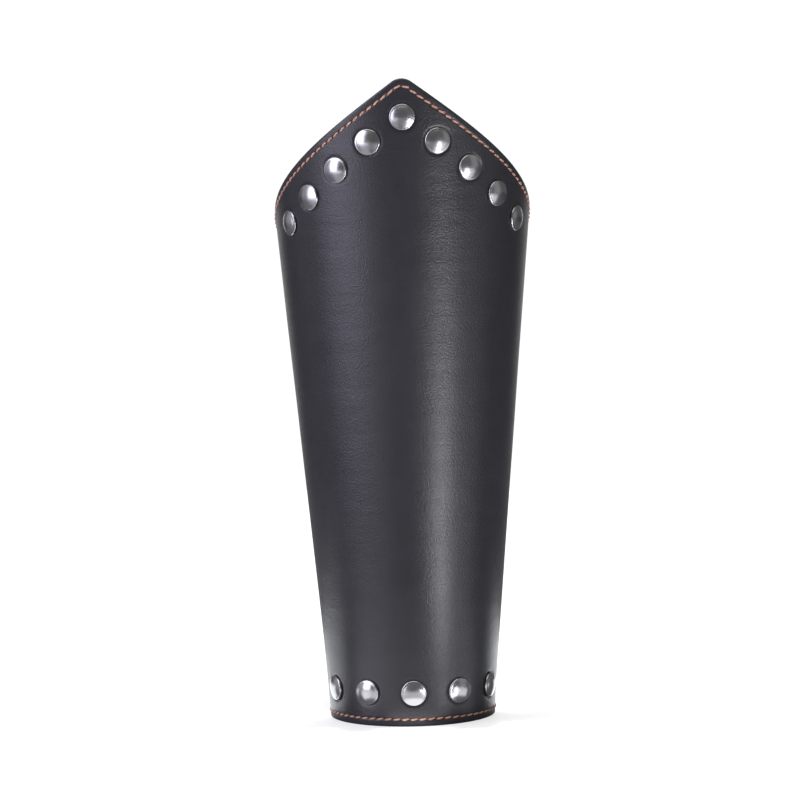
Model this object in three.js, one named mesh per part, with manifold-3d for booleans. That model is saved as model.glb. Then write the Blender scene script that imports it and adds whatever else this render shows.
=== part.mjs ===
// A leather arm bracer: one panel rolled to a cone and open along the back, with a raised point at
// the front, two rows of domed rivets and a row of lacing eyelets down each back edge.
// Millimetres, +Z up. The front faces -Y, and the wrist rim stands on Z = 0.

import * as THREE from 'three';
import { mergeVertices } from 'three/addons/utils/BufferGeometryUtils.js';
import Module from 'manifold-3d';

// Leather panel: the cone that it is rolled to
const WRIST_RADIUS = 31.6; // outer radius of the straight cone at the wrist rim
const TAPER_DEG = 5.225; // half angle of the cone
const LEATHER_THICKNESS = 2.6;
const RIM_FLARE = 0.65; // the wrist rim stands out this much from the straight cone
const RIM_FLARE_REACH = 13.5; // height over which the flare fades
const BACK_GAP_DEG = 40; // the lacing gap, as an angle round the axis

// Leather panel: the outline of its flat pattern
const PEAK_HEIGHT = 246.6; // front point, before it is rounded
const EDGE_FALL_DEG = 35.5; // how steeply the two top edges fall from the point
const PEAK_ROUNDING = 6.5;
const SIDE_ROUNDING = 12; // upper corners at the lacing gap
const WRIST_ROUNDING = 7; // lower corners at the lacing gap

// Rivets
const CAP_RADIUS = 5;
const CAP_HEIGHT = 1.3;
const CAP_LIP = 0.35; // height of the straight rim under the dome
const CAP_FULLNESS = 2.4; // 2 is an ellipse, more is flatter on top and steeper at the rim
const POST_RADIUS = 1.6;
const BACK_RADIUS = 4.2;
const BACK_THICKNESS = 0.9;

// Rivet rows
const CHEVRON_BELOW_PEAK = 14.4; // where the row's two arms meet, down from the unrounded point
const CHEVRON_CENTRE_DROP = 1.4; // the centre rivet sits this much below that meeting place
const CHEVRON_EXTRA_FALL_DEG = 2.85; // the row falls this much more than the top edges
const CHEVRON_PITCH = 16.85;
const CHEVRON_PER_SIDE = 4;
const WRIST_ROW_HEIGHT = 13;
const WRIST_ROW_PITCH = 18.7;
const WRIST_PER_SIDE = 2;

// Lacing eyelets
const EYELET_BORE_RADIUS = 1.95;
const EYELET_WALL = 0.6;
const EYELET_FLANGE_WIDTH = 1.7;
const EYELET_FLANGE_THICKNESS = 0.7;
const EYELET_FROM_EDGE = 10;
const EYELET_FROM_RIM = 17; // lowest eyelet, up from the wrist rim
const EYELET_FROM_CORNER = 19; // highest eyelet, down from the upper corner
const EYELETS_PER_SIDE = 6;

// Fit
const CLEARANCE = 0.3; // between the metal pieces and the leather

// Facets
const PEAK_COLUMNS = 6;
const SIDE_COLUMNS = 26;
const CORNER_COLUMNS = 5;
const PANEL_ROWS = 10;
const ROW_CROWDING = 1.4; // above 1 the rows lie closer together at the wrist
const RIVET_SIDES = 14;
const EYELET_SIDES = 12;
const HOLE_SIDES = 12;
const DOME_STEPS = 4;

const LEATHER_MATERIAL = { color: 0x17161a, roughness: 0.42, metalness: 0 };
const NICKEL_MATERIAL = { color: 0xc4c6c8, roughness: 0.22, metalness: 1 };

const taper = THREE.MathUtils.degToRad(TAPER_DEG);
const edgeFall = THREE.MathUtils.degToRad(EDGE_FALL_DEG);
const chevronFall = THREE.MathUtils.degToRad(EDGE_FALL_DEG + CHEVRON_EXTRA_FALL_DEG);
const halfWrap = Math.PI - THREE.MathUtils.degToRad(BACK_GAP_DEG) / 2;

// In the flat pattern the wrist rim is an arc of this radius round the cone's unrolled apex.
const rimSlant = WRIST_RADIUS / Math.sin(taper);
const peakSlant = rimSlant + PEAK_HEIGHT / Math.cos(taper);

const wasm = await Module();
wasm.setup();

// Outer radius of the leather at a height.
function outerRadius(z) {
  return WRIST_RADIUS + z * Math.tan(taper) + RIM_FLARE * Math.exp(-z / RIM_FLARE_REACH);
}

// A point of the leather: an angle round the axis from the front, a height, and a depth into the wall.
function leatherPoint(angle, z, depth) {
  const radius = outerRadius(z) - depth / Math.cos(taper);
  return new THREE.Vector3(radius * Math.sin(angle), -radius * Math.cos(angle), z);
}

// The outward direction there, levelled over the width of a piece that sits on the leather.
function leatherNormal(angle, z, width) {
  const slope = (outerRadius(z + width / 2) - outerRadius(z - width / 2)) / width;
  return new THREE.Vector3(Math.sin(angle), -Math.cos(angle), -slope).normalize();
}

// Rolls a point of the flat pattern up: across is its distance from the centre line, and slant its
// distance from the apex measured along that line.
function rollUp(across, slant) {
  const reach = Math.hypot(across, slant);
  const spread = Math.atan2(across, slant);
  return { angle: spread / Math.sin(taper), z: (reach - rimSlant) * Math.cos(taper) };
}

// Height of the straight top edge at an angle, with the point still sharp.
function sharpEdgeHeight(angle) {
  const spread = Math.abs(angle) * Math.sin(taper);
  const reach = (peakSlant * Math.cos(edgeFall)) / Math.cos(edgeFall - spread);
  return (reach - rimSlant) * Math.cos(taper);
}

// How far a rounded corner cuts in, at a distance from the side edge.
function cornerCut(distance, rounding) {
  const inside = Math.max(rounding - distance, 0);
  return rounding - Math.sqrt(rounding ** 2 - inside ** 2);
}

const cornerHeight = sharpEdgeHeight(halfWrap);

function topHeight(angle) {
  const distance = (halfWrap - Math.abs(angle)) * outerRadius(cornerHeight);
  return sharpEdgeHeight(angle) - cornerCut(distance, SIDE_ROUNDING);
}

function bottomHeight(angle) {
  const distance = (halfWrap - Math.abs(angle)) * outerRadius(0);
  return cornerCut(distance, WRIST_ROUNDING);
}

// Columns of the panel from the centre line to one side edge, each an angle with its two heights.
function panelColumns() {
  const columns = [];
  const roundingCentre = peakSlant - PEAK_ROUNDING / Math.cos(edgeFall);
  for (let i = 0; i <= PEAK_COLUMNS / 2; i += 1) {
    const turn = (edgeFall * i) / (PEAK_COLUMNS / 2);
    const slant = roundingCentre + PEAK_ROUNDING * Math.cos(turn);
    const point = rollUp(PEAK_ROUNDING * Math.sin(turn), slant);
    columns.push({ angle: point.angle, low: bottomHeight(point.angle), high: point.z });
  }
  const rounding = Math.max(SIDE_ROUNDING, WRIST_ROUNDING);
  const first = columns[columns.length - 1].angle;
  const last = halfWrap - rounding / outerRadius(0);
  const angles = [];
  for (let i = 1; i <= SIDE_COLUMNS; i += 1) {
    angles.push(first + ((last - first) * i) / SIDE_COLUMNS);
  }
  for (let i = CORNER_COLUMNS - 1; i >= 0; i -= 1) {
    const share = 1 - Math.cos((i / CORNER_COLUMNS) * (Math.PI / 2));
    angles.push(halfWrap - (halfWrap - last) * share);
  }
  for (const angle of angles) {
    columns.push({ angle, low: bottomHeight(angle), high: topHeight(angle) });
  }
  return columns;
}

// The panel as one closed sheet with thickness: an outer and an inner grid, joined round the edge.
function panelSheet() {
  const half = panelColumns();
  const mirrored = half.slice(1).reverse().map((c) => ({ ...c, angle: -c.angle }));
  const columns = [...mirrored, ...half];
  const rows = PANEL_ROWS + 1;
  const positions = [];
  for (const depth of [0, LEATHER_THICKNESS]) {
    for (const column of columns) {
      for (let j = 0; j < rows; j += 1) {
        const share = (j / PANEL_ROWS) ** ROW_CROWDING;
        const z = THREE.MathUtils.lerp(column.low, column.high, share);
        positions.push(...leatherPoint(column.angle, z, depth).toArray());
      }
    }
  }
  const outer = (i, j) => i * rows + j;
  const inner = (i, j) => columns.length * rows + i * rows + j;
  const indices = [];
  const quad = (a, b, c, d) => indices.push(a, b, c, a, c, d);
  const lastColumn = columns.length - 1;
  for (let i = 0; i < lastColumn; i += 1) {
    for (let j = 0; j < PANEL_ROWS; j += 1) {
      quad(outer(i, j), outer(i + 1, j), outer(i + 1, j + 1), outer(i, j + 1));
      quad(inner(i, j), inner(i, j + 1), inner(i + 1, j + 1), inner(i + 1, j));
    }
    quad(outer(i, 0), inner(i, 0), inner(i + 1, 0), outer(i + 1, 0));
    quad(outer(i, PANEL_ROWS), outer(i + 1, PANEL_ROWS), inner(i + 1, PANEL_ROWS), inner(i, PANEL_ROWS));
  }
  for (let j = 0; j < PANEL_ROWS; j += 1) {
    quad(outer(0, j), outer(0, j + 1), inner(0, j + 1), inner(0, j));
    quad(outer(lastColumn, j), inner(lastColumn, j), inner(lastColumn, j + 1), outer(lastColumn, j + 1));
  }
  const geometry = new THREE.BufferGeometry();
  geometry.setAttribute('position', new THREE.Float32BufferAttribute(positions, 3));
  geometry.setIndex(indices);
  return geometry;
}

function toSolid(geometry) {
  const bare = geometry.clone();
  bare.deleteAttribute('normal');
  bare.deleteAttribute('uv');
  const merged = mergeVertices(bare);
  return new wasm.Manifold(
    new wasm.Mesh({
      numProp: 3,
      vertProperties: Float32Array.from(merged.attributes.position.array),
      triVerts: Uint32Array.from(merged.index.array),
    }),
  );
}

function toGeometry(solid) {
  const mesh = solid.getMesh();
  const geometry = new THREE.BufferGeometry();
  geometry.setAttribute('position', new THREE.Float32BufferAttribute(mesh.vertProperties, 3));
  geometry.setIndex(new THREE.BufferAttribute(mesh.triVerts, 1));
  return geometry;
}

// Seats: where a metal piece goes through the leather, with its outward direction.
function seat(name, angle, z, width) {
  const normal = leatherNormal(angle, z, width);
  return {
    name,
    position: leatherPoint(angle, z, 0),
    rotation: new THREE.Quaternion().setFromUnitVectors(new THREE.Vector3(0, 0, 1), normal),
    // A flat face this wide clears the hollow inside of the wall by this much more.
    hollow: (width / 2) ** 2 / (2 * (outerRadius(z) - LEATHER_THICKNESS)),
  };
}

function sideName(side) {
  return side < 0 ? 'left' : 'right';
}

function chevronSeats() {
  const width = 2 * CAP_RADIUS;
  const meetingSlant = peakSlant - CHEVRON_BELOW_PEAK;
  const centre = rollUp(0, meetingSlant - CHEVRON_CENTRE_DROP);
  const seats = [seat('rivet_top_centre', centre.angle, centre.z, width)];
  for (const side of [-1, 1]) {
    for (let i = 1; i <= CHEVRON_PER_SIDE; i += 1) {
      const along = i * CHEVRON_PITCH;
      const across = side * along * Math.cos(chevronFall);
      const point = rollUp(across, meetingSlant - along * Math.sin(chevronFall));
      seats.push(seat(`rivet_top_${sideName(side)}_${i}`, point.angle, point.z, width));
    }
  }
  return seats;
}

function wristSeats() {
  const width = 2 * CAP_RADIUS;
  const pitchAngle = WRIST_ROW_PITCH / outerRadius(WRIST_ROW_HEIGHT);
  const seats = [seat('rivet_wrist_centre', 0, WRIST_ROW_HEIGHT, width)];
  for (const side of [-1, 1]) {
    for (let i = 1; i <= WRIST_PER_SIDE; i += 1) {
      const angle = side * i * pitchAngle;
      seats.push(seat(`rivet_wrist_${sideName(side)}_${i}`, angle, WRIST_ROW_HEIGHT, width));
    }
  }
  return seats;
}

const eyeletBarrel = EYELET_BORE_RADIUS + EYELET_WALL;
const eyeletFlange = eyeletBarrel + EYELET_FLANGE_WIDTH;

function eyeletSeats() {
  const highest = cornerHeight - EYELET_FROM_CORNER;
  const seats = [];
  for (const side of [-1, 1]) {
    for (let i = 0; i < EYELETS_PER_SIDE; i += 1) {
      const z = THREE.MathUtils.lerp(EYELET_FROM_RIM, highest, i / (EYELETS_PER_SIDE - 1));
      const angle = side * (halfWrap - EYELET_FROM_EDGE / outerRadius(z));
      seats.push(seat(`eyelet_${sideName(side)}_${i + 1}`, angle, z, 2 * eyeletFlange));
    }
  }
  return seats;
}

function holeCutter(place, radius) {
  const length = 4 * LEATHER_THICKNESS;
  const geometry = new THREE.CylinderGeometry(radius, radius, length, HOLE_SIDES);
  geometry.rotateX(Math.PI / 2);
  geometry.applyQuaternion(place.rotation);
  geometry.translate(...place.position.toArray());
  return toSolid(geometry);
}

// A piece turned round the seat's outward direction, from a profile of radius and height.
function turned(profile, sides) {
  const points = profile.map(([radius, height]) => new THREE.Vector2(radius, height));
  const geometry = new THREE.LatheGeometry(points, sides);
  return geometry.rotateX(Math.PI / 2);
}

// A two-part rivet, pressed together: the cap outside, its post, and the flat back inside.
function rivetGeometry(place) {
  const backTop = -LEATHER_THICKNESS - CLEARANCE - place.hollow;
  const backBottom = backTop - BACK_THICKNESS;
  const dome = [];
  for (let i = 0; i <= DOME_STEPS; i += 1) {
    const turn = (i / DOME_STEPS) * (Math.PI / 2);
    const radius = i < DOME_STEPS ? CAP_RADIUS * Math.cos(turn) ** (2 / CAP_FULLNESS) : 0;
    const rise = (CAP_HEIGHT - CAP_LIP) * Math.sin(turn) ** (2 / CAP_FULLNESS);
    dome.push([radius, CLEARANCE + CAP_LIP + rise]);
  }
  const profile = [
    [0, backBottom],
    [BACK_RADIUS, backBottom],
    [BACK_RADIUS, backTop],
    [POST_RADIUS, backTop],
    [POST_RADIUS, CLEARANCE],
    [CAP_RADIUS, CLEARANCE],
    ...dome,
  ];
  return turned(profile, RIVET_SIDES);
}

// A rolled eyelet: a short barrel through the leather with a flange on both faces.
function eyeletGeometry(place) {
  const outside = CLEARANCE + EYELET_FLANGE_THICKNESS;
  const inside = -LEATHER_THICKNESS - CLEARANCE - place.hollow;
  const bottom = inside - EYELET_FLANGE_THICKNESS;
  const profile = [
    [EYELET_BORE_RADIUS, bottom],
    [eyeletFlange, bottom],
    [eyeletFlange, inside],
    [eyeletBarrel, inside],
    [eyeletBarrel, CLEARANCE],
    [eyeletFlange, CLEARANCE],
    [eyeletFlange, outside],
    [EYELET_BORE_RADIUS, outside],
    [EYELET_BORE_RADIUS, bottom],
  ];
  return turned(profile, EYELET_SIDES);
}

function panelGeometry(rivetPlaces, eyeletPlaces) {
  let panel = toSolid(panelSheet());
  for (const place of rivetPlaces) {
    panel = panel.subtract(holeCutter(place, POST_RADIUS + CLEARANCE));
  }
  for (const place of eyeletPlaces) {
    panel = panel.subtract(holeCutter(place, eyeletBarrel + CLEARANCE));
  }
  return toGeometry(panel);
}

function addMesh(parent, name, geometry, material) {
  const mesh = new THREE.Mesh(geometry, new THREE.MeshStandardMaterial(material));
  mesh.name = name;
  parent.add(mesh);
  return mesh;
}

function buildBracer() {
  const bracer = new THREE.Group();
  const rivetPlaces = [...chevronSeats(), ...wristSeats()];
  const eyeletPlaces = eyeletSeats();
  addMesh(bracer, 'leather_panel', panelGeometry(rivetPlaces, eyeletPlaces), LEATHER_MATERIAL);
  for (const place of rivetPlaces) {
    const rivet = addMesh(bracer, place.name, rivetGeometry(place), NICKEL_MATERIAL);
    rivet.position.copy(place.position);
    rivet.quaternion.copy(place.rotation);
  }
  for (const place of eyeletPlaces) {
    const eyelet = addMesh(bracer, place.name, eyeletGeometry(place), NICKEL_MATERIAL);
    eyelet.position.copy(place.position);
    eyelet.quaternion.copy(place.rotation);
  }
  return bracer;
}

// The origin is under the middle of the whole bracer, on the surface that the wrist rim stands on.
const bracer = buildBracer();
const box = new THREE.Box3().setFromObject(bracer, true);
const middle = box.getCenter(new THREE.Vector3());
bracer.position.set(-middle.x, -middle.y, -box.min.z);
bracer.updateMatrixWorld(true);

export default bracer;
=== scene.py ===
# %% [markdown]
# # A riveted leather arm bracer
# A bracer guards the forearm. This one is a single sheet of black leather, cut flat to a pattern with
# a point, rolled to a cone and laced up the back. It carries two rows of domed nickel rivets and a
# saddle stitch of orange-tan thread round its whole edge. The notebook first loads the solid model,
# which fixes every size and place, and then dresses it: the leather, its stitches and its metal.

# %% Load the solid model and note its box
import math

import bmesh
import bpy
from mathutils import Matrix, Vector
from mathutils.geometry import delaunay_2d_cdt
from mathutils.noise import noise


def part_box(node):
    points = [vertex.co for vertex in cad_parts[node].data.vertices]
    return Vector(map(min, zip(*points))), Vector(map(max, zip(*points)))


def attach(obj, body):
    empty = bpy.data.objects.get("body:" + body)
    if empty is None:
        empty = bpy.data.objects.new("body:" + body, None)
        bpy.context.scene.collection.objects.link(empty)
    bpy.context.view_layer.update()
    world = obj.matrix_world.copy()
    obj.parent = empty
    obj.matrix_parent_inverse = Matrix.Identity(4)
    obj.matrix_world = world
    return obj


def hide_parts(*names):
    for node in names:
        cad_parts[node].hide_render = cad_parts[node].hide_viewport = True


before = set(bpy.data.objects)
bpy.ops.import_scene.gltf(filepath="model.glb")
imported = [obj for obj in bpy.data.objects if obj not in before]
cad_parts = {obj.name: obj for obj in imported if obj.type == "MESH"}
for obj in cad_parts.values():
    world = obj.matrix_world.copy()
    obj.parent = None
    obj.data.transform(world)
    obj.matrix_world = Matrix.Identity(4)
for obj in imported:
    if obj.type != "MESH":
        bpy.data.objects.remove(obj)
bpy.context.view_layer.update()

# %% [markdown]
# ## The camera
# The bracer was seen from about a metre away with a long lens, level with its upper third, and the
# camera was rolled by a little over one degree. A short lens close by could show it as large, but it
# would make the cone look too tapered. The look-at point lies near the middle of the bracer.

# %% Camera
MM = 0.001
CAMERA_PLACE = Vector((-13.05, -1062.4, 170.6)) * MM
CAMERA_TARGET = Vector((-2.48, 5.54, 123.6)) * MM
CAMERA_ROLL_DEG = -1.26
CAMERA_LENS = 122.85
SENSOR_WIDTH = 36

camera_data = bpy.data.cameras.new("camera")
camera_data.lens = CAMERA_LENS
camera_data.sensor_width = SENSOR_WIDTH
camera = bpy.data.objects.new("camera", camera_data)
bpy.context.scene.collection.objects.link(camera)
view_line = CAMERA_TARGET - CAMERA_PLACE
facing = view_line.to_track_quat("-Z", "Y").to_matrix().to_4x4()
roll = Matrix.Rotation(math.radians(CAMERA_ROLL_DEG), 4, "Z")
camera.matrix_world = Matrix.Translation(CAMERA_PLACE) @ facing @ roll
bpy.context.scene.camera = camera
print("camera stands", round(view_line.length, 3), "m away")

# %% [markdown]
# ## Small helpers
# Two things are done again and again below: a mesh is made into an object, and a math node is wired
# to its inputs. Each gets one short function, so that the cells which follow read as plain steps.

# %% Helpers for objects and nodes
def new_object(name, data):
    """Puts a mesh or a curve into the scene as an object of that name."""
    made = bpy.data.objects.new(name, data)
    bpy.context.scene.collection.objects.link(made)
    return made


def feed(tree, node, values):
    """Sets a node's inputs by name or number, each from a socket or from a plain value."""
    for key, value in values.items():
        socket = node.inputs[key]
        if isinstance(value, bpy.types.NodeSocket):
            tree.links.new(value, socket)
        else:
            socket.default_value = value
    return node


def add(tree, kind, values=None, **settings):
    """Adds a node of a kind, with its settings and its inputs."""
    node = tree.nodes.new(kind)
    for key, value in settings.items():
        setattr(node, key, value)
    return feed(tree, node, values or {})


def calc(tree, operation, *values):
    """One step of arithmetic in a node tree. It returns the result's socket."""
    numbered = dict(enumerate(values))
    return add(tree, "ShaderNodeMath", numbered, operation=operation).outputs[0]


def vector_calc(tree, operation, values, result="Vector"):
    """One step of arithmetic with vectors, whose inputs are given as in feed."""
    return add(tree, "ShaderNodeVectorMath", values, operation=operation).outputs[result]


# %% [markdown]
# ## The shape of the bracer
# Leather does not stretch much, so a rolled sheet is a cone that could be laid flat again. In the flat
# pattern the wrist rim is an arc round the cone's apex, and the two upper edges are straight lines
# that meet at the point. These sizes are the solid model's own. Two functions carry a place from the
# cone to the pattern and give the cone's radius, so that everything else can be drawn flat.

# %% Sizes of the leather, in millimetres
WRIST_RADIUS = 31.6
TAPER = math.radians(5.225)
THICKNESS = 2.6
RIM_FLARE = 0.65
RIM_FLARE_REACH = 13.5
HALF_WRAP = math.radians(160)
PEAK_HEIGHT = 246.6
EDGE_FALL = math.radians(35.5)
PEAK_ROUNDING = 6.5
SIDE_ROUNDING = 12.0
WRIST_ROUNDING = 7.0

RIM_SLANT = WRIST_RADIUS / math.sin(TAPER)
PEAK_UP = PEAK_HEIGHT / math.cos(TAPER)
HALF_SPREAD = HALF_WRAP * math.sin(TAPER)


def outer_radius(height):
    """Radius of the leather's outer face at a height."""
    flare = RIM_FLARE * math.exp(-height / RIM_FLARE_REACH)
    return WRIST_RADIUS + height * math.tan(TAPER) + flare


def outer_slope(height, reach=5.0):
    """How fast that radius grows, levelled over a rivet's width."""
    return (outer_radius(height + reach) - outer_radius(height - reach)) / (2 * reach)


# The panel's front is its lowest Y, where the rounded point is widest of all.
panel_low, panel_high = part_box("leather_panel")
AXIS_Y = panel_low[1] / MM + outer_radius(panel_high[2] / MM)
print("cone axis at y =", round(AXIS_Y, 3), "mm")


def lay_flat(point):
    """Place on the flat pattern, across and up, of a point near the leather, all in millimetres."""
    angle = math.atan2(point.x, AXIS_Y - point.y)
    reach = RIM_SLANT + point.z / math.cos(TAPER)
    spread = angle * math.sin(TAPER)
    return Vector((reach * math.sin(spread), reach * math.cos(spread) - RIM_SLANT))


# %% [markdown]
# ## Where the metal sits
# Each rivet and eyelet of the solid model is a turned piece, so the mean of its corners lies on its
# own axis. From that point its seat on the leather follows: the angle round the cone, the height, and
# the direction straight out of the leather. The seats could be typed in once more, but reading them
# from the model keeps them true to it.

# %% Seats of the rivets and eyelets
def seat_of(node_name):
    """The point of the outer face under a rivet or eyelet, and the direction out of the leather."""
    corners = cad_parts[node_name].data.vertices
    middle = sum((v.co for v in corners), Vector()) / len(corners) / MM
    angle = math.atan2(middle.x, AXIS_Y - middle.y)
    slope = outer_slope(middle.z)
    outward = Vector((math.sin(angle), -math.cos(angle), -slope)).normalized()
    radius = math.hypot(middle.x, AXIS_Y - middle.y)
    lift = (outer_radius(middle.z) - radius) / math.sqrt(1 + slope**2)
    return middle + outward * lift, outward


rivet_names = sorted(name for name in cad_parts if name.startswith("rivet"))
eyelet_names = sorted(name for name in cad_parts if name.startswith("eyelet"))
rivet_seats = [seat_of(name) for name in rivet_names]
eyelet_seats = [seat_of(name) for name in eyelet_names]
print(len(rivet_seats), "rivets and", len(eyelet_seats), "eyelets")

# %% [markdown]
# ## The outline of the pattern
# The outline is five corners joined by lines and one arc, with the corners rounded. It is walked once
# round, counter-clockwise, and each point keeps its outward direction. A line that runs inside the
# edge, such as the seam, is then the same walk with every point moved inwards by the same amount.

# %% Corners and directions of the outline
APEX = Vector((0, -RIM_SLANT))
PEAK = Vector((0, PEAK_UP))
SIDE_OUT = Vector((math.cos(HALF_SPREAD), -math.sin(HALF_SPREAD)))
TOP_OUT = Vector((math.sin(EDGE_FALL), math.cos(EDGE_FALL)))


def meeting_point(inset):
    """Where the side and the upper edge cross once both are moved inwards by the same amount."""
    lines = Matrix((SIDE_OUT, TOP_OUT))
    return lines.inverted() @ Vector((APEX.dot(SIDE_OUT) - inset, PEAK.dot(TOP_OUT) - inset))


# %% Walk along a line and round a corner
WALK_STEP = 0.8
FEWEST_LINE_STEPS = 2
FEWEST_CORNER_STEPS = 6


def walk_line(start, end, outward):
    """Points along a line without its last one, each with the line's outward direction."""
    count = max(FEWEST_LINE_STEPS, round((end - start).length / WALK_STEP))
    return [(start.lerp(end, i / count), outward) for i in range(count)]


def walk_corner(centre, radius, first, last):
    """A rounded corner from one outward direction, given as an angle, to another."""
    count = max(FEWEST_CORNER_STEPS, round(radius * (last - first) / WALK_STEP))
    points = []
    for i in range(count):
        turn = first + (last - first) * i / count
        outward = Vector((math.cos(turn), math.sin(turn)))
        points.append((centre + outward * radius, outward))
    return points


# %% Walk round half of the outline, and mirror it
def walk_rim(rim_turn):
    """Points of the wrist rim from its middle to its corner, where the edge faces the apex."""
    count = round(RIM_SLANT * rim_turn / WALK_STEP)
    turns = [rim_turn * i / count for i in range(count)]
    rays = [Vector((math.sin(turn), math.cos(turn))) for turn in turns]
    return [(APEX + ray * RIM_SLANT, -ray) for ray in rays]


def half_outline():
    """From the middle of the wrist rim, up the right side, to the point."""
    rim_turn = HALF_SPREAD - math.asin(WRIST_ROUNDING / (RIM_SLANT + WRIST_ROUNDING))
    rim_angle = -math.pi / 2 - rim_turn
    top_angle = math.pi / 2 - EDGE_FALL
    corner_ray = Vector((math.sin(rim_turn), math.cos(rim_turn)))
    wrist_centre = APEX + corner_ray * (RIM_SLANT + WRIST_ROUNDING)
    side_centre = meeting_point(SIDE_ROUNDING)
    peak_centre = PEAK - Vector((0, PEAK_ROUNDING / math.cos(EDGE_FALL)))
    side_start = wrist_centre + SIDE_OUT * WRIST_ROUNDING
    side_end = side_centre + SIDE_OUT * SIDE_ROUNDING
    top_start = side_centre + TOP_OUT * SIDE_ROUNDING
    top_end = peak_centre + TOP_OUT * PEAK_ROUNDING
    points = walk_rim(rim_turn)
    points += walk_corner(wrist_centre, WRIST_ROUNDING, rim_angle, -HALF_SPREAD)
    points += walk_line(side_start, side_end, SIDE_OUT)
    points += walk_corner(side_centre, SIDE_ROUNDING, -HALF_SPREAD, top_angle)
    points += walk_line(top_start, top_end, TOP_OUT)
    points += walk_corner(peak_centre, PEAK_ROUNDING, top_angle, math.pi / 2)
    points.append((peak_centre + Vector((0, PEAK_ROUNDING)), Vector((0, 1))))
    return points


def whole_outline():
    """The right half and its mirror image, counter-clockwise."""
    right = half_outline()
    left = []
    for point, outward in reversed(right[1:-1]):
        left.append((Vector((-point.x, point.y)), Vector((-outward.x, outward.y))))
    return right + left


outline = whole_outline()
print("outline has", len(outline), "points")


# %% Lines inside the outline, such as the seam
def inset_loop(inset):
    """The outline with every point moved inwards by the same amount."""
    return [point - outward * inset for point, outward in outline]


def loop_lengths(loop):
    """Distance walked from the first point to each point, and last the whole way round."""
    lengths = [0.0]
    for i, point in enumerate(loop):
        lengths.append(lengths[-1] + (loop[(i + 1) % len(loop)] - point).length)
    return lengths


SEAM_INSET = 2.9
STITCH_PITCH = 3.3
seam_lengths = loop_lengths(inset_loop(SEAM_INSET))
stitch_count = round(seam_lengths[-1] / STITCH_PITCH)
stitch_step = seam_lengths[-1] / stitch_count
print(stitch_count, "stitches,", round(stitch_step, 3), "mm each")

# %% [markdown]
# ## The leather panel
# The panel is drawn flat, as it is cut. Round its edge run rings that follow the outline: they carry
# the rounded, burnished edge and the groove that the thread is pulled into. Inside the rings lies an
# even field of points, with extra rings round each rivet and eyelet, where metal presses the leather.
# A triangulation joins them all. The alternative, a subdivided cage, would blur the groove.

# %% Cross-section of the border, from the flesh side round the edge to the grain side
# Each row: millimetres in from the edge, height over the grain side, and the surface there.
BORDER = [
    (5.0, -2.60, "flesh"),
    (3.9, -2.60, "flesh"),
    (3.4, -2.54, "flesh"),
    (2.9, -2.42, "flesh"),
    (2.4, -2.54, "flesh"),
    (1.5, -2.60, "flesh"),
    (0.8, -2.54, "edge"),
    (0.35, -2.38, "edge"),
    (0.09, -2.05, "edge"),
    (0.0, -1.62, "edge"),
    (0.0, -1.10, "edge"),
    (0.05, -0.66, "edge"),
    (0.18, -0.32, "edge"),
    (0.38, -0.13, "grain"),
    (0.7, -0.03, "grain"),
    (1.2, 0.0, "grain"),
    (1.9, 0.0, "grain"),
    (2.25, 0.0, "grain"),
    (2.45, -0.03, "grain"),
    (2.62, -0.17, "grain"),
    (2.9, -0.27, "grain"),
    (3.18, -0.17, "grain"),
    (3.35, -0.03, "grain"),
    (3.55, 0.0, "grain"),
    (3.95, 0.0, "grain"),
    (5.0, 0.0, "grain"),
]
SURFACES = {"grain": 0, "edge": 1, "flesh": 2}
GROOVE_ROWS = (2.6, 3.2)
GROOVE_SWELL = 0.10

# %% Pressed places and soft waves of the grain side
PRESS_DEPTH = 0.30
PRESS_RADIUS = 5.0
PRESS_WIDTH = 0.45
PRESS_REACH = 12
WAVE_DEPTH = 0.10
WAVE_LENGTH = 34.0
WAVE_SLICE = 0.5

rivet_spots = [lay_flat(point) for point, _ in rivet_seats]
eyelet_spots = [lay_flat(point) for point, _ in eyelet_seats]


def field_depth(spot):
    """How far the grain side lies above or below the plain cone at a place of the pattern."""
    wave = noise(Vector((spot.x / WAVE_LENGTH, spot.y / WAVE_LENGTH, WAVE_SLICE)))
    depth = WAVE_DEPTH * wave
    for centre in rivet_spots:
        away = (spot - centre).length
        if away < PRESS_REACH:
            depth -= PRESS_DEPTH * math.exp(-(((away - PRESS_RADIUS) / PRESS_WIDTH) ** 2))
    return depth


def border_depth(inset, depth, walked):
    """The groove is shallow under the middle of a stitch and deep at the holes between two."""
    if GROOVE_ROWS[0] <= inset <= GROOVE_ROWS[1]:
        phase = math.cos(2 * math.pi * (walked / stitch_step - 0.5))
        return depth - GROOVE_SWELL * phase
    return depth


# %% Rings round the metal
RIVET_RINGS = (2.5, 3.9, 4.6, 5.0, 5.25, 5.55, 6.0, 6.8)
HOLE_RADIUS = 2.85
EYELET_RINGS = (HOLE_RADIUS, 3.4, 4.2, 5.0)
RING_POINTS = 32


def ring(centre, radius):
    """Points of a circle on the flat pattern."""
    turns = [2 * math.pi * i / RING_POINTS for i in range(RING_POINTS)]
    return [centre + Vector((math.cos(t), math.sin(t))) * radius for t in turns]


def inside_edge(spot, margin):
    """True where a place lies more than this far inside the unrounded outline."""
    folded = Vector((abs(spot.x), spot.y))
    below_top = (PEAK - folded).dot(TOP_OUT)
    within_side = (APEX - folded).dot(SIDE_OUT)
    above_rim = (folded - APEX).length - RIM_SLANT
    return min(below_top, within_side, above_rim) > margin


# %% Points of the even field between them
FIELD_SPACING = 2.2
FIELD_MARGIN = 6.2
RING_CLEARANCE = 0.9
ROW_RISE = math.sqrt(0.75)
# The wrist rim's arc sinks towards its corners, so the rows start well below its middle.
LOWEST_ROW = -30


def near_any(spot, centres, reach):
    """True where a place is closer than this to one of the centres."""
    return any((spot - centre).length < reach for centre in centres)


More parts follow.
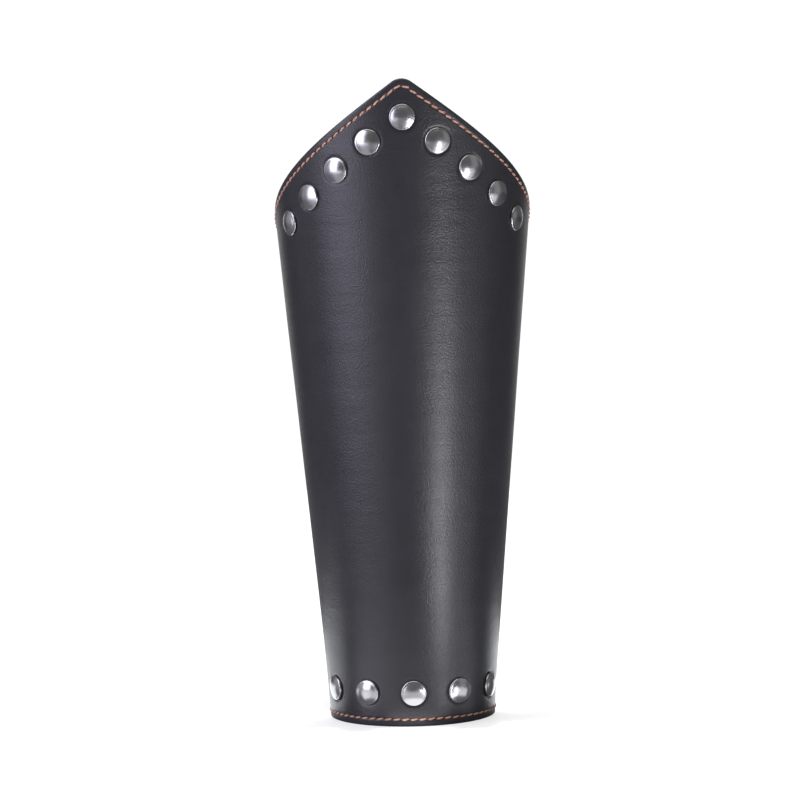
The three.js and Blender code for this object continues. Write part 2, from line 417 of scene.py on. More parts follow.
def field_points():
    """Rows of points, every other row moved by half a step, left out where the rings lie."""
    across_limit = (RIM_SLANT + PEAK_UP) * math.sin(HALF_SPREAD)
    columns = round(across_limit / FIELD_SPACING)
    points = []
    for row in range(LOWEST_ROW, round(PEAK_UP / FIELD_SPACING)):
        offset = 0.5 * (row % 2)
        for column in range(-columns, columns + 1):
            spot = Vector((column + offset, row * ROW_RISE)) * FIELD_SPACING
            if not inside_edge(spot, FIELD_MARGIN):
                continue
            if near_any(spot, rivet_spots, RIVET_RINGS[-1] + RING_CLEARANCE):
                continue
            if near_any(spot, eyelet_spots, EYELET_RINGS[-1] + RING_CLEARANCE):
                continue
            points.append(spot)
    return points


# %% Triangulate the field
RING_MARGIN = 5.5
HOLE_SHARE = 0.98
# Kind of result that delaunay_2d_cdt gives: 1 is all that lies inside the closed lines.
KEEP_INSIDE = 1
SAME_PLACE = 1e-5


def triangulate_field():
    """Corners and triangles inside the innermost border ring, with a hole at each eyelet."""
    loop = inset_loop(BORDER[-1][0])
    corners = list(loop)
    edges = [(i, (i + 1) % len(loop)) for i in range(len(loop))]
    for centre in eyelet_spots:
        for radius in EYELET_RINGS:
            first = len(corners)
            corners += ring(centre, radius)
            if radius == HOLE_RADIUS:
                edges += [(first + i, first + (i + 1) % RING_POINTS) for i in range(RING_POINTS)]
    for centre in rivet_spots:
        corners.append(centre)
        for radius in RIVET_RINGS:
            corners += [spot for spot in ring(centre, radius) if inside_edge(spot, RING_MARGIN)]
    corners += field_points()
    made = delaunay_2d_cdt(corners, edges, [], KEEP_INSIDE, SAME_PLACE)
    spots, triangles = made[0], made[2]
    kept = []
    for triangle in triangles:
        middle = sum((spots[i] for i in triangle), Vector((0, 0))) / 3
        if all((middle - centre).length > HOLE_RADIUS * HOLE_SHARE for centre in eyelet_spots):
            kept.append(triangle)
    return spots, kept, len(loop)


field_spots, field_triangles, loop_size = triangulate_field()
print(len(field_spots), "field points and", len(field_triangles), "triangles")


# %% Build the flat panel
def flat_panel_mesh():
    """The panel as it is cut: x across, y up from the rim, z out of the grain side."""
    shell = bmesh.new()
    rows = []
    for inset, depth, _ in BORDER:
        loop = inset_loop(inset)
        row = []
        for spot, walked in zip(loop, seam_lengths):
            row.append(shell.verts.new((spot.x, spot.y, border_depth(inset, depth, walked))))
        rows.append(row)
    for (_, _, surface), lower, upper in zip(BORDER[1:], rows, rows[1:]):
        for i in range(loop_size):
            j = (i + 1) % loop_size
            face = shell.faces.new((lower[i], lower[j], upper[j], upper[i]))
            face.material_index = SURFACES[surface]
    sheets = {}
    for surface, border_row in (("flesh", rows[0]), ("grain", rows[-1])):
        sheet = list(border_row)
        for spot in field_spots[loop_size:]:
            depth = field_depth(spot) if surface == "grain" else -THICKNESS
            sheet.append(shell.verts.new((spot.x, spot.y, depth)))
        for triangle in field_triangles:
            order = triangle if surface == "grain" else reversed(triangle)
            face = shell.faces.new([sheet[i] for i in order])
            face.material_index = SURFACES[surface]
        sheets[surface] = sheet
    join_holes(shell, sheets)
    loose = [v for v in shell.verts if not v.link_faces]
    bmesh.ops.delete(shell, geom=loose, context="VERTS")
    for face in shell.faces:
        face.smooth = True
    mesh = bpy.data.meshes.new("leather")
    shell.to_mesh(mesh)
    shell.free()
    return mesh


def join_holes(shell, sheets):
    """Closes the wall of each eyelet hole. It runs against the grain face, so that it faces outwards."""
    grain, flesh = sheets["grain"], sheets["flesh"]
    where = {vert: i for i, vert in enumerate(grain)}
    open_sides = []
    for i, vert in enumerate(grain):
        for corner in vert.link_loops:
            if len(corner.edge.link_faces) == 1:
                open_sides.append((i, where[corner.link_loop_next.vert]))
    for i, j in open_sides:
        face = shell.faces.new((grain[j], grain[i], flesh[i], flesh[j]))
        face.material_index = SURFACES["edge"]


leather_mesh = flat_panel_mesh()
print("flat panel has", len(leather_mesh.polygons), "faces")

# %% [markdown]
# ## Rolling the sheet
# Rolling is a rule, so it is made with Geometry Nodes: a group takes anything drawn on the flat
# pattern and wraps it round the cone. Its inputs are the sizes of the cone. A Simple Deform modifier
# could bend the sheet too, but to a cylinder and not to this cone. The same group bends the panel and
# the stitches, which is why they still meet after rolling.

# %% Begin a tree
def geometry_tree(name, sizes=(), **others):
    """A tree with geometry in and out and named inputs: sizes as numbers, the others by their kind."""
    tree = bpy.data.node_groups.new(name, "GeometryNodeTree")
    kinds = {"Geometry": "Geometry", **others, **dict.fromkeys(sizes, "Float")}
    for label, kind in kinds.items():
        tree.interface.new_socket(label, in_out="INPUT", socket_type="NodeSocket" + kind)
    tree.interface.new_socket("Geometry", in_out="OUTPUT", socket_type="NodeSocketGeometry")
    return tree, tree.nodes.new("NodeGroupInput").outputs


# %% The group that rolls flat things up
ROLL_SIZES = {
    "Wrist Radius": WRIST_RADIUS,
    "Taper": TAPER,
    "Rim Flare": RIM_FLARE,
    "Flare Reach": RIM_FLARE_REACH,
    "Axis Y": AXIS_Y,
}


def make_roll_group():
    """Round the pattern's apex, an angle becomes one round the cone, and the reach a height."""
    tree, given = geometry_tree("roll_to_cone", sizes=ROLL_SIZES)
    place = add(tree, "GeometryNodeInputPosition").outputs[0]
    across, up, depth = add(tree, "ShaderNodeSeparateXYZ", {0: place}).outputs
    sine = calc(tree, "SINE", given["Taper"])
    cosine = calc(tree, "COSINE", given["Taper"])
    rim_slant = calc(tree, "DIVIDE", given["Wrist Radius"], sine)
    slant = calc(tree, "ADD", rim_slant, up)
    across_squared = calc(tree, "MULTIPLY", across, across)
    slant_squared = calc(tree, "MULTIPLY", slant, slant)
    reach = calc(tree, "SQRT", calc(tree, "ADD", across_squared, slant_squared))
    angle = calc(tree, "DIVIDE", calc(tree, "ARCTAN2", across, slant), sine)
    height = calc(tree, "MULTIPLY", calc(tree, "SUBTRACT", reach, rim_slant), cosine)
    flare_fade = calc(tree, "DIVIDE", calc(tree, "MULTIPLY", height, -1.0), given["Flare Reach"])
    flare = calc(tree, "MULTIPLY", given["Rim Flare"], calc(tree, "EXPONENT", flare_fade))
    growth = calc(tree, "MULTIPLY", height, calc(tree, "TANGENT", given["Taper"]))
    outer = calc(tree, "ADD", calc(tree, "ADD", given["Wrist Radius"], growth), flare)
    radius = calc(tree, "ADD", outer, calc(tree, "DIVIDE", depth, cosine))
    sideways = calc(tree, "MULTIPLY", radius, calc(tree, "SINE", angle))
    forwards = calc(tree, "MULTIPLY", radius, calc(tree, "COSINE", angle))
    along_y = calc(tree, "SUBTRACT", given["Axis Y"], forwards)
    rolled = add(tree, "ShaderNodeCombineXYZ", {0: sideways, 1: along_y, 2: height}).outputs[0]
    metres = vector_calc(tree, "SCALE", {0: rolled, "Scale": MM})
    moved = {"Geometry": given["Geometry"], "Position": metres}
    wrapped = add(tree, "GeometryNodeSetPosition", moved)
    add(tree, "NodeGroupOutput", {0: wrapped.outputs[0]})
    return tree


roll_group = make_roll_group()
print("roll group has", len(roll_group.nodes), "nodes")


# %% Run a tree on an object and keep the result as a plain mesh
def baked(name, source, tree, values):
    """Runs a node tree on an object's data and returns a new plain mesh object."""
    modifier = source.modifiers.new("nodes", "NODES")
    modifier.node_group = tree
    for item in tree.interface.items_tree:
        if item.in_out == "INPUT" and item.name in values:
            modifier[item.identifier] = values[item.name]
    graph = bpy.context.evaluated_depsgraph_get()
    mesh = bpy.data.meshes.new_from_object(source.evaluated_get(graph), depsgraph=graph)
    source.modifiers.clear()
    bpy.data.objects.remove(source)
    mesh.name = name
    return new_object(name, mesh)


# %% [markdown]
# ## The finish of the leather
# The grain side is smooth black leather with a soft gloss. Its fine pebble is far smaller than the
# rivets, so it is a bump in the material and not real geometry. Three layers make it: small cells for
# the pebble, a finer noise between them, and a slow unevenness that breaks up long reflections. The
# cut edge is burnished and a little greyer. The flesh side is dull and fibrous.

# %% Helpers for materials
def new_material(name):
    material = bpy.data.materials.new(name)
    material.use_nodes = True
    tree = material.node_tree
    return material, tree, tree.nodes["Principled BSDF"]


def object_place(tree):
    return add(tree, "ShaderNodeTexCoord").outputs["Object"]


def fine_noise(tree, place, per_metre, detail, roughness=0.5):
    sizes = {"Vector": place, "Scale": per_metre, "Detail": detail, "Roughness": roughness}
    return add(tree, "ShaderNodeTexNoise", sizes).outputs["Fac"]


def spread_to(tree, value, low, high, new_low, new_high):
    """Carries a value from one range to another."""
    limits = {0: value, 1: low, 2: high, 3: new_low, 4: new_high}
    return add(tree, "ShaderNodeMapRange", limits).outputs[0]


def colour_between(tree, share, first, last):
    """A colour between two, by a share from 0 to 1. Each is a socket or a red, green and blue."""
    ends = []
    for colour in (first, last):
        ends.append(colour if isinstance(colour, bpy.types.NodeSocket) else (*colour, 1))
    mixed = {0: share, 6: ends[0], 7: ends[1]}
    return add(tree, "ShaderNodeMix", mixed, data_type="RGBA").outputs[2]


# %% Grain side
def grain_leather():
    """The cells are bent by a noise, and the slow unevenness is short along the bracer's height."""
    material, tree, shader = new_material("black_grain_leather")
    place = object_place(tree)
    warp = add(tree, "ShaderNodeTexNoise", {"Vector": place, "Scale": 700.0, "Detail": 1.0})
    bend = vector_calc(tree, "SCALE", {0: warp.outputs["Color"], "Scale": 0.0003})
    bent = vector_calc(tree, "ADD", {0: place, 1: bend})
    cells = add(tree, "ShaderNodeTexVoronoi", {"Vector": bent, "Scale": 1700.0})
    cells.feature = "SMOOTH_F1"
    pebble = cells.outputs["Distance"]
    pores = fine_noise(tree, place, 3800.0, 2.0)
    stretch = vector_calc(tree, "MULTIPLY", {0: place, 1: (30.0, 30.0, 130.0)})
    slow = fine_noise(tree, stretch, 1.0, 3.0)
    layers = calc(tree, "MULTIPLY", pebble, -0.6)
    layers = calc(tree, "MULTIPLY_ADD", pores, 0.25, layers)
    fine_bump = add(tree, "ShaderNodeBump", {"Strength": 0.55, "Distance": 0.00022, "Height": layers})
    soft_bump = {"Strength": 0.25, "Distance": 0.0008, "Height": slow, "Normal": fine_bump.outputs[0]}
    bump = add(tree, "ShaderNodeBump", soft_bump)
    mottle = fine_noise(tree, place, 130.0, 4.0)
    colour = colour_between(tree, mottle, (0.0155, 0.0148, 0.0180), (0.0245, 0.0235, 0.0285))
    gloss = spread_to(tree, fine_noise(tree, place, 45.0, 3.0), 0.3, 0.7, 0.29, 0.36)
    feed(tree, shader, {"Base Color": colour, "Roughness": gloss, "Normal": bump.outputs[0]})
    shader.inputs["Specular IOR Level"].default_value = 0.5
    return material


# %% Burnished edge and flesh side
def burnished_edge():
    material, tree, shader = new_material("burnished_leather_edge")
    place = object_place(tree)
    fibres = fine_noise(tree, place, 700.0, 3.0)
    colour = colour_between(tree, fibres, (0.012, 0.012, 0.013), (0.024, 0.023, 0.024))
    bump = add(tree, "ShaderNodeBump", {"Strength": 0.3, "Distance": 0.0003, "Height": fibres})
    feed(tree, shader, {"Base Color": colour, "Roughness": 0.46, "Normal": bump.outputs[0]})
    return material


def flesh_side():
    material, tree, shader = new_material("leather_flesh_side")
    place = object_place(tree)
    fibres = fine_noise(tree, place, 1300.0, 5.0, 0.65)
    clouds = fine_noise(tree, place, 60.0, 3.0)
    share = calc(tree, "MULTIPLY_ADD", clouds, 0.5, calc(tree, "MULTIPLY", fibres, 0.5))
    colour = colour_between(tree, share, (0.016, 0.014, 0.013), (0.055, 0.050, 0.046))
    bump = add(tree, "ShaderNodeBump", {"Strength": 0.6, "Distance": 0.0005, "Height": fibres})
    feed(tree, shader, {"Base Color": colour, "Normal": bump.outputs[0]})
    shader.inputs["Roughness"].default_value = 0.92
    shader.inputs["Sheen Weight"].default_value = 0.15
    return material


# %% [markdown]
# ## The panel, rolled and finished
# The flat mesh goes through the roll group. Its three surfaces keep their material numbers, so the
# grain side, the cut edge and the flesh side each take their own finish.

# %% Roll the panel
for finish in (grain_leather(), burnished_edge(), flesh_side()):
    leather_mesh.materials.append(finish)
flat_panel = new_object("flat_panel", leather_mesh)
panel = baked("leather_bracer_panel", flat_panel, roll_group, ROLL_SIZES)
print("rolled panel measures", [round(side, 4) for side in panel.dimensions])

# %% [markdown]
# ## The saddle stitch
# Two needles carry one thread through the same holes from both sides, so the seam looks alike outside
# and inside: short slanting stitches, each sunk into the groove and diving into the next hole. One
# long winding tube would need the path of the whole thread. Only the arches between the holes show,
# so a curve follows the seam on the flat pattern, and Geometry Nodes set one arch at every step.

# %% Finish of the thread
def waxed_thread():
    """Tan on top of each arch, darkened to a red-brown towards both ends: painted shade where the thread
    dives into its holes.
    """
    material, tree, shader = new_material("orange_tan_thread")
    place = object_place(tree)
    plies = fine_noise(tree, place, 2600.0, 2.0)
    shade = fine_noise(tree, place, 260.0, 2.0)
    dyed = colour_between(tree, shade, (0.34, 0.15, 0.09), (0.64, 0.36, 0.26))
    share = add(tree, "ShaderNodeAttribute", attribute_name="along_stitch").outputs["Fac"]
    left = calc(tree, "SUBTRACT", 1.0, share)
    middle = spread_to(tree, calc(tree, "MULTIPLY", share, left), 0.10, 0.21, 0.0, 1.0)
    # The arch's ends are darkened to a red-brown, a painted shade where the thread sinks into its holes.
    thread_with_painted_shade = colour_between(tree, middle, (0.15, 0.032, 0.014), dyed)
    bump = add(tree, "ShaderNodeBump", {"Strength": 0.5, "Distance": 0.0002, "Height": plies})
    feed(tree, shader, {"Base Color": thread_with_painted_shade, "Normal": bump.outputs[0]})
    shader.inputs["Roughness"].default_value = 0.30
    shader.inputs["Sheen Weight"].default_value = 0.3
    return material


# %% One arch of thread
ARCH_STEPS = 8
THREAD_SIDES = 8


def combined(tree, parts):
    """A vector from its parts, by number. Parts that aren't given are 0."""
    return add(tree, "ShaderNodeCombineXYZ", parts).outputs[0]


def stitch_arch(tree, given):
    """A round thread that rises from one hole and sinks into the next, marked with its share."""
    half = calc(tree, "MULTIPLY", given["Stitch Length"], 0.5)
    back = calc(tree, "MULTIPLY", half, -1.0)
    start = combined(tree, {0: back, 2: given["Sink"]})
    middle = combined(tree, {2: given["Rise"]})
    end = combined(tree, {0: half, 2: given["Sink"]})
    path = {0: ARCH_STEPS, 1: start, 2: middle, 3: end}
    arch = add(tree, "GeometryNodeCurveQuadraticBezier", path)
    along = add(tree, "GeometryNodeSplineParameter").outputs["Factor"]
    marked = {"Geometry": arch.outputs[0], "Name": "along_stitch", "Value": along}
    arch = add(tree, "GeometryNodeStoreNamedAttribute", marked)
    section = add(tree, "GeometryNodeCurvePrimitiveCircle", {"Resolution": THREAD_SIDES})
    feed(tree, section, {"Radius": given["Thread Radius"]})
    tube = {"Curve": arch.outputs[0], "Profile Curve": section.outputs[0], "Fill Caps": True}
    return add(tree, "GeometryNodeCurveToMesh", tube).outputs[0]


# %% The tree that sews a seam
def make_stitch_tree(thread):
    """An arch at every step of the curve, turned to run along it with a slant, and rolled up."""
    sizes = ("Stitch Length", "Thread Radius", "Slant", "Sink", "Rise")
    tree, given = geometry_tree("saddle_stitch", sizes, Count="Int")
    steps = {"Curve": given["Geometry"], "Count": given["Count"]}
    spaced = add(tree, "GeometryNodeResampleCurve", steps)
    tangent = add(tree, "GeometryNodeInputTangent").outputs[0]
    aligned = add(tree, "FunctionNodeAlignRotationToVector", {"Vector": tangent}, axis="X")
    aligned.pivot_axis = "Z"
    tilt = add(tree, "FunctionNodeEulerToRotation", {0: combined(tree, {2: given["Slant"]})})
    slanted = add(tree, "FunctionNodeRotateRotation", {0: aligned.outputs[0], 1: tilt.outputs[0]})
    slanted.rotation_space = "LOCAL"
    placed = {"Points": spaced.outputs[0], "Instance": stitch_arch(tree, given)}
    rows = add(tree, "GeometryNodeInstanceOnPoints", {**placed, "Rotation": slanted.outputs[0]})
    real = add(tree, "GeometryNodeRealizeInstances", {0: rows.outputs[0]})
    rolled = tree.nodes.new("GeometryNodeGroup")
    rolled.node_tree = roll_group
    feed(tree, rolled, {"Geometry": real.outputs[0], **ROLL_SIZES})
    smooth = add(tree, "GeometryNodeSetShadeSmooth", {0: rolled.outputs[0]})
    finish = add(tree, "GeometryNodeSetMaterial", {0: smooth.outputs[0], "Material": thread})
    add(tree, "NodeGroupOutput", {0: finish.outputs[0]})
    return tree


# %% Sew the seam on both faces
THREAD_RADIUS = 0.38
STITCH_LENGTH = 3.15
STITCH_SLANT = math.radians(9)
OUTSIDE_SINK, OUTSIDE_RISE = -0.62, 0.78
INSIDE_SINK, INSIDE_RISE = 0.62, -0.72


def seam_curve(name, depth):
    """The seam line on the flat pattern, at a depth into the leather."""
    curve = bpy.data.curves.new(name, "CURVE")
    curve.dimensions = "3D"
    line = curve.splines.new("POLY")
    loop = inset_loop(SEAM_INSET)
    line.points.add(len(loop) - 1)
    for point, spot in zip(line.points, loop):
        point.co = (spot.x, spot.y, depth, 1)
    line.use_cyclic_u = True
    return new_object(name, curve)


def sewn(name, depth, slant, sink, rise):
    """One face's row of stitches, as a plain mesh."""
    sizes = {"Count": stitch_count, "Stitch Length": STITCH_LENGTH, "Thread Radius": THREAD_RADIUS}
    sizes.update({"Slant": slant, "Sink": sink, "Rise": rise})
    return baked(name, seam_curve(name + "_line", depth), stitch_tree, sizes)


stitch_tree = make_stitch_tree(waxed_thread())
outside_seam = sewn("seam_stitches_outside", 0.0, STITCH_SLANT, OUTSIDE_SINK, OUTSIDE_RISE)
inside_seam = sewn("seam_stitches_inside", -THICKNESS, -STITCH_SLANT, INSIDE_SINK, INSIDE_RISE)
print("outside seam has", len(outside_seam.data.polygons), "faces")

# %% [markdown]
# ## Rivets and eyelets
# A rivet here is a pressed cap with a low dome and a rolled rim, a post through the leather, and a
# flat back plate. An eyelet is a short barrel with its flanges rolled over. Ready-made spheres and
# rings would miss their rolled rims. Both are round, so each is turned once from its profile, and a
# small tree sets a copy on every seat.

# %% Turn a profile round its axis
def turned(name, profile, sides, closed=False):
    """A mesh of revolution about Z from (radius, height) pairs, in millimetres."""
    shape = bmesh.new()
    rows = []
    for radius, height in profile:
        if radius == 0:
            rows.append([shape.verts.new((0, 0, height))] * sides)
            continue
        row = []
        for i in range(sides):
            turn = 2 * math.pi * i / sides
            row.append(shape.verts.new((radius * math.cos(turn), radius * math.sin(turn), height)))
        rows.append(row)
    pairs = list(zip(rows, rows[1:]))
    if closed:
        pairs.append((rows[-1], rows[0]))
    for lower, upper in pairs:
        for i in range(sides):
            j = (i + 1) % sides
            corners = []
            for vert in (lower[i], lower[j], upper[j], upper[i]):
                if vert not in corners:
                    corners.append(vert)
            shape.faces.new(corners).smooth = True
    bmesh.ops.scale(shape, vec=(MM, MM, MM), verts=shape.verts)
    mesh = bpy.data.meshes.new(name)
    shape.to_mesh(mesh)
    shape.free()
    return new_object(name, mesh)


# %% Rivet profile, from the middle of the back plate to the top of the cap
RIVET_SIDES = 48
BACK_DEPTH = -3.1
CAP_TOP = 1.66
CAP_EDGE = 4.36
CAP_EDGE_HEIGHT = 0.58
DOME_STEPS = 12


def rivet_profile():
    """Back plate, post, the cap's hem tucked against the leather, its rolled rim and low dome."""
    profile = [
        (0, BACK_DEPTH - 0.9),
        (3.5, BACK_DEPTH - 0.9),
        (3.95, BACK_DEPTH - 0.8),
        (4.2, BACK_DEPTH - 0.5),
        (4.2, BACK_DEPTH - 0.25),
        (4.05, BACK_DEPTH),
        (1.6, BACK_DEPTH),
        (1.6, -0.1),
        (4.25, -0.35),
        (4.6, -0.38),
        (4.78, -0.3),
        (4.87, -0.14),
        (4.9, 0.04),
        (4.87, 0.22),
        (4.79, 0.38),
        (4.67, 0.5),
        (4.53, 0.56),
    ]
    sagitta = CAP_TOP - CAP_EDGE_HEIGHT
    sphere = (CAP_EDGE**2 + sagitta**2) / (2 * sagitta)
    for i in range(DOME_STEPS):
        radius = CAP_EDGE * (1 - i / DOME_STEPS)
        profile.append((radius, CAP_TOP - sphere + math.sqrt(sphere**2 - radius**2)))
    profile.append((0, CAP_TOP))
    return profile


# %% Eyelet profile
EYELET_SIDES = 40


def eyelet_profile():
    """A closed section: over the outer flange, down the bore, round the inner one, up the barrel."""
    return [
        (4.0, -0.2),
        (4.2, -0.16),
        (4.24, 0.02),
        (4.17, 0.3),
        (3.95, 0.6),
        (3.55, 0.86),
        (3.1, 0.99),
        (2.65, 0.99),
        (2.25, 0.86),
        (2.02, 0.62),
        (1.95, 0.3),
        (1.95, -3.0),
        (2.1, -3.35),
        (2.5, -3.6),
        (3.0, -3.68),
        (3.5, -3.6),
        (4.0, -3.38),
        (4.22, -3.15),
        (4.2, -2.95),
        (3.9, -2.78),
        (2.55, -2.65),
        (2.55, -0.05),
    ]


# %% [markdown]
# ## The finish of the metal
# The rivets and eyelets are plated with nickel, which handling has dulled a little. A mirror-bright
# metal would show every light with a hard edge, so the nickel has some roughness, and slow noises
# vary it and the tint from place to place. The marks of rubbing are only a very faint bump.

# %% Nickel
def polished_nickel():
    material, tree, shader = new_material("polished_nickel")
    place = object_place(tree)
    haze = spread_to(tree, fine_noise(tree, place, 180.0, 1.0), 0.3, 0.7, 0.23, 0.29)
    rub = fine_noise(tree, place, 2500.0, 2.0)
    bump = add(tree, "ShaderNodeBump", {"Strength": 0.02, "Distance": 0.0002, "Height": rub})
    patches = fine_noise(tree, place, 90.0, 2.0)
    tint = colour_between(tree, patches, (0.37, 0.365, 0.37), (0.48, 0.47, 0.475))
    feed(tree, shader, {"Base Color": tint, "Roughness": haze, "Normal": bump.outputs[0]})
    shader.inputs["Metallic"].default_value = 1.0
    return material


# %% [markdown]
# ## Setting the metal
# A rivet setter works the same way at every hole, and so does this tree. The seats are loose points
# that know which way is out of the leather. Linked copies in a loop would do as well, but one tree
# serves the rivets and the eyelets alike and leaves one mesh of each.

# %% A tree that sets one piece on every seat
def make_seat_tree():
    """A copy of the given piece at every point, with its own Z turned to the outward direction."""
    tree, given = geometry_tree("metal_on_seats", Piece="Object", Metal="Material")
    outward = add(tree, "GeometryNodeInputNamedAttribute", {0: "outward"}, data_type="FLOAT_VECTOR")
    aligned = add(tree, "FunctionNodeAlignRotationToVector", {"Vector": outward.outputs[0]}, axis="Z")
    piece = add(tree, "GeometryNodeObjectInfo", {"Object": given["Piece"]})
    placed = {"Points": given["Geometry"], "Instance": piece.outputs["Geometry"]}
    copies = add(tree, "GeometryNodeInstanceOnPoints", {**placed, "Rotation": aligned.outputs[0]})
    real = add(tree, "GeometryNodeRealizeInstances", {0: copies.outputs[0]})
    finish = add(tree, "GeometryNodeSetMaterial", {0: real.outputs[0], "Material": given["Metal"]})
    add(tree, "NodeGroupOutput", {0: finish.outputs[0]})
    return tree


# %% Set the rivets and the eyelets
def seat_points(name, seats):
    """One loose point for every seat, with its outward direction."""
    mesh = bpy.data.meshes.new(name)
    mesh.from_pydata([tuple(point * MM) for point, _ in seats], [], [])
    outward = mesh.attributes.new("outward", "FLOAT_VECTOR", "POINT")
    for item, (_, direction) in zip(outward.data, seats):
        item.vector = direction
    return new_object(name, mesh)


def set_metal(name, seats, piece):
    """A copy of a turned piece on every seat, as one plain mesh. The turned piece is removed."""
    points = seat_points(name + "_seats", seats)
    made = baked(name, points, seat_tree, {"Piece": piece, "Metal": nickel})
    bpy.data.objects.remove(piece)
    print(name, "have", len(made.data.polygons), "faces")
    return made


nickel = polished_nickel()
seat_tree = make_seat_tree()
turned_rivet = turned("turned_rivet", rivet_profile(), RIVET_SIDES)
rivets = set_metal("domed_rivets", rivet_seats, turned_rivet)
turned_eyelet = turned("turned_eyelet", eyelet_profile(), EYELET_SIDES, closed=True)
eyelets = set_metal("rolled_eyelets", eyelet_seats, turned_eyelet)

# %% [markdown]
# ## What stands for what
# The panel and its thread stand for the solid model's leather. The turned rivets and eyelets stand
# for its plain ones. All of it is one rigid thing, so every piece rides on the one body.

# %% Join the pieces to the solid model
for piece in (panel, outside_seam, inside_seam, rivets, eyelets):
    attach(piece, "root")
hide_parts("leather_panel")
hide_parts(*rivet_names)
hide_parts(*eyelet_names)

# %% [markdown]
# ## Floor and light
# The bracer stands on a white floor in a white room, under soft studio light. For the eye the floor
# and the room are white, and for the light they are dim, so that they don't wash out the leather.
# Where the bracer stands, the floor's glow is a little lower: a painted soft contact shadow.

# %% Floor
FLOOR_REACH = 6
FLOOR_GLOW = 1.0
# The floor's glow near the bracer, lower than elsewhere: a painted contact shadow.
PAINTED_SHADOW_GLOW = 0.68
CONTACT_START = 0.03
CONTACT_END = 0.11


def make_floor():
    """A large square whose glow is seen by the camera alone, dimmed near the bracer as a painted shadow.
    """
    signs = [(-1, -1), (1, -1), (1, 1), (-1, 1)]
    mesh = bpy.data.meshes.new("floor")
    mesh.from_pydata([(x * FLOOR_REACH, y * FLOOR_REACH, 0) for x, y in signs], [], [(0, 1, 2, 3)])
    material, tree, shader = new_material("white_floor")
    feed(tree, shader, {"Base Color": (0.22, 0.22, 0.225, 1), "Roughness": 0.55})
    away = vector_calc(tree, "LENGTH", {0: object_place(tree)}, result="Value")
    # The glow rises from the painted contact shadow near the bracer to plain white farther out.
    glow = spread_to(tree, away, CONTACT_START, CONTACT_END, PAINTED_SHADOW_GLOW, FLOOR_GLOW)
    seen = add(tree, "ShaderNodeLightPath").outputs["Is Camera Ray"]
    strength = calc(tree, "MULTIPLY", seen, glow)
    feed(tree, shader, {"Emission Color": (1, 1, 1, 1), "Emission Strength": strength})
    mesh.materials.append(material)
    return new_object("floor", mesh)


floor = make_floor()

# %% World
ROOM_LIGHT = 0.16
ROOM_SEEN = 1.05


def make_world():
    """White where the camera looks straight at it, and dim for everything that it lights."""
    world = bpy.data.worlds.new("studio")
    world.use_nodes = True
    tree = world.node_tree
    seen = add(tree, "ShaderNodeLightPath").outputs["Is Camera Ray"]
    strength = spread_to(tree, seen, 0.0, 1.0, ROOM_LIGHT, ROOM_SEEN)
    feed(tree, tree.nodes["Background"], {"Color": (1, 1, 1, 1), "Strength": strength})
    bpy.context.scene.world = world


make_world()

# %% [markdown]
# ## The lights
# Black leather shows little colour of its own, only what it mirrors, so the lights are placed for
# their reflections. The cone widens upwards, so its surface looks slightly down and mirrors the floor
# before it. A strip light at eye level would hardly show in it. Glowing sectors that lie on the
# floor, unseen by the camera, draw the bright band on the right and the low sheens. A large bluish
# softbox at the left front adds the cool sheen of the left side and lights the caps. The other
# softboxes, the backdrop and the overhead light fill in the edges, the back and the inside.

# %% Softboxes
def area_light(name, azimuth, distance, height, size, radiance, colour, aim):
    """A rectangular light, placed by its azimuth round the bracer, 0 in front and 90 on the right."""
    turn = math.radians(azimuth)
    place = Vector((distance * math.sin(turn), AXIS_Y * MM - distance * math.cos(turn), height))
    data = bpy.data.lights.new(name, "AREA")
    data.shape = "RECTANGLE"
    data.size, data.size_y = size
    data.energy = radiance * math.pi * size[0] * size[1]
    data.color = colour
    light = new_object(name, data)
    towards = Vector((0, AXIS_Y * MM, aim)) - place
    turned_to = towards.to_track_quat("-Z", "Y").to_matrix().to_4x4()
    light.matrix_world = Matrix.Translation(place) @ turned_to
    light.visible_camera = False


# Name, azimuth, distance, height, width and height of the light, radiance, colour, height it aims at.
SOFTBOXES = [
    ("softbox_left_front", -57, 0.90, 0.60, (0.64, 1.2), 3.9, (0.83, 0.81, 1.0), 0.40),
    ("softbox_left_side", -98, 0.90, 0.60, (0.60, 1.2), 0.36, (0.90, 0.90, 1.0), 0.40),
    ("softbox_right", 74, 0.95, 0.55, (0.62, 1.0), 0.27, (0.95, 0.95, 1.0), 0.40),
    ("backdrop", 180, 1.1, 0.55, (1.4, 1.1), 0.6, (1, 1, 1), 0.4),
    ("overhead", 0, 0.45, 1.5, (1.2, 1.2), 2.0, (1, 1, 1), 0.0),
]
for softbox in SOFTBOXES:
    area_light(*softbox)
print(len(SOFTBOXES), "area lights")

# %% Glowing sectors on the floor
SECTOR_HEIGHT = 0.002
SECTOR_SHARES = (-1, -0.5, 0, 0.5, 1)


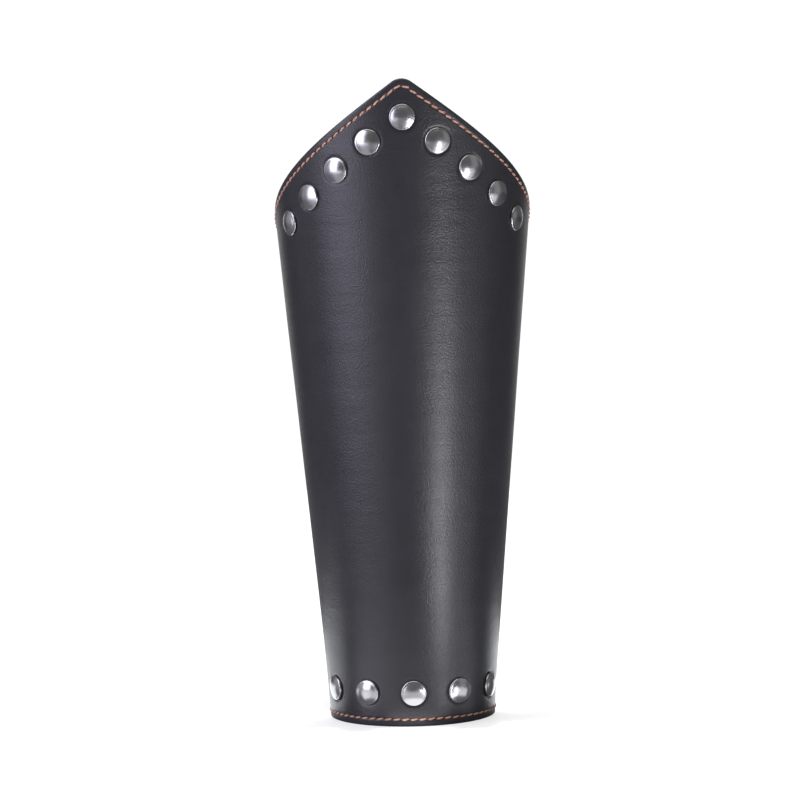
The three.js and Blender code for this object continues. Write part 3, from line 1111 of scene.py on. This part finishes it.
def floor_panel(name, azimuth, half_angle, near, far, radiance, colour):
    """A sector laid out from the spot of the rim that mirrors its azimuth to the camera."""
    corners = []
    mirror_turn = math.radians(azimuth / 2)
    start = Vector((math.sin(mirror_turn), -math.cos(mirror_turn))) * WRIST_RADIUS * MM
    turns = [math.radians(azimuth + half_angle * share) for share in SECTOR_SHARES]
    for reach in (near, far):
        for turn in turns:
            x = start.x + reach * math.sin(turn)
            y = start.y + AXIS_Y * MM - reach * math.cos(turn)
            corners.append((x, y, SECTOR_HEIGHT))
    row = len(SECTOR_SHARES)
    faces = [(i, i + row, i + row + 1, i + 1) for i in range(row - 1)]
    mesh = bpy.data.meshes.new(name)
    mesh.from_pydata(corners, [], faces)
    material, tree, shader = new_material(name)
    feed(tree, shader, {"Base Color": (0, 0, 0, 1), "Emission Color": (*colour, 1)})
    shader.inputs["Emission Strength"].default_value = radiance
    shader.inputs["Specular IOR Level"].default_value = 0.0
    mesh.materials.append(material)
    panel_light = new_object(name, mesh)
    panel_light.visible_camera = False
    panel_light.visible_shadow = False


# Name, azimuth of its middle, half its angle, nearest and farthest reach, radiance, colour.
SECTORS = [
    ("floor_glow_right", 36, 5.5, 0.13, 0.80, 14.5, (0.95, 0.95, 1.0)),
    ("floor_glow_right_near", 40, 11.0, 0.016, 0.13, 7.5, (0.95, 0.95, 1.0)),
    ("floor_glow_far_right", 60, 17.0, 0.12, 1.08, 1.2, (0.93, 0.94, 1.0)),
    ("floor_glow_near_right", 68, 27.0, 0.016, 0.12, 1.5, (0.93, 0.94, 1.0)),
    ("floor_glow_front_right", 18, 12.0, 0.10, 0.56, 0.6, (0.93, 0.94, 1.0)),
    ("floor_glow_left", -42, 24.0, 0.10, 0.60, 0.7, (0.92, 0.93, 1.0)),
    ("floor_glow_left_far", -38, 20.0, 0.60, 1.30, 1.9, (0.90, 0.88, 1.0)),
    ("floor_glow_left_near", -52, 34.0, 0.016, 0.10, 1.8, (0.92, 0.94, 1.0)),
    ("floor_glow_back_left", -132, 34.0, 0.012, 0.20, 2.1, (0.95, 0.98, 1.0)),
    ("floor_glow_back_right", 150, 26.0, 0.012, 0.20, 2.2, (0.96, 0.98, 1.0)),
    ("floor_glow_front", 0, 70.0, 0.016, 0.11, 1.0, (0.95, 0.96, 1.0)),
    ("floor_glow_rim", 0, 80.0, 0.001, 0.016, 2.2, (0.95, 0.96, 1.0)),
    ("floor_glow_front_far", -8, 24.0, 0.25, 1.40, 0.4, (0.93, 0.92, 1.0)),
]
for sector in SECTORS:
    floor_panel(*sector)
print(len(SECTORS), "glowing sectors")
bpy.context.scene.view_settings.view_transform = "Standard"
